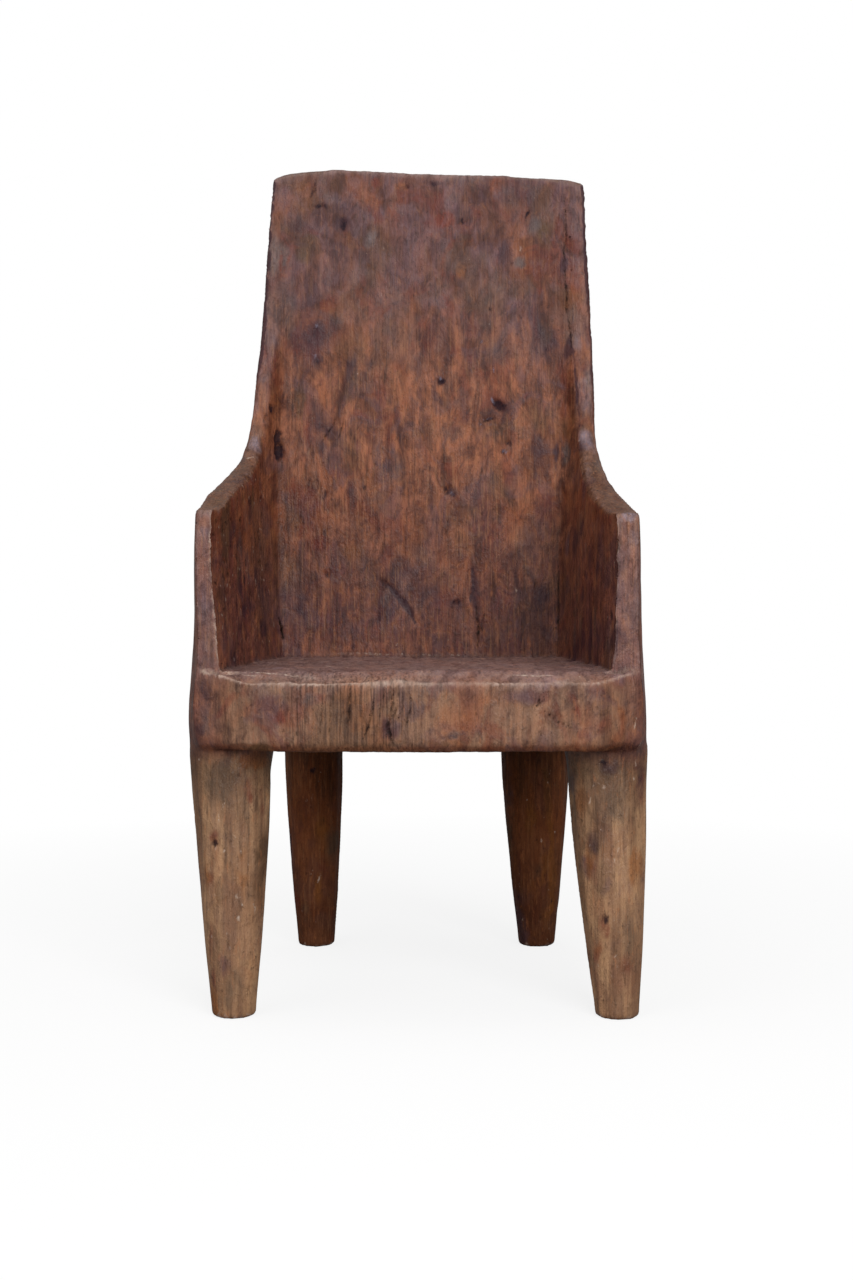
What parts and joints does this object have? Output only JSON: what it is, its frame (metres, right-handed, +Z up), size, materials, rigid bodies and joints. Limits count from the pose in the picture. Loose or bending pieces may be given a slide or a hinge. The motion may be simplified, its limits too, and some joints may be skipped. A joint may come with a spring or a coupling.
{
  "type": "carved armchair",
  "caption": "High-backed armchair hewn from one tree trunk: a thick seat slab on tapered round legs, with low curved arms that sweep up into the rims of a tall back.",
  "frame": {"origin": "on the floor, below the middle of the chair's bounding box", "axes": "+X to the right as seen from in front of the chair, +Y from the front to the back, +Z up. The chair faces -Y. Left and right in the node names are as seen from in front: left is -X and right is +X."},
  "size_m": [0.5459, 0.523, 1.0824],
  "materials": {
    "slab_wood": "hewn, dry, worn to a low sheen",
    "back_wood": "hewn, dry, worn to a low sheen",
    "leg_wood": "hewn, dry, paler than the rest"
  },
  "bodies": {
    "root": {"seat": "slab_wood", "back": "back_wood", "left_arm": "back_wood", "right_arm": "back_wood", "front_left_leg": "leg_wood", "front_right_leg": "leg_wood", "back_left_leg": "leg_wood", "back_right_leg": "leg_wood"}
  },
  "joints": []
}
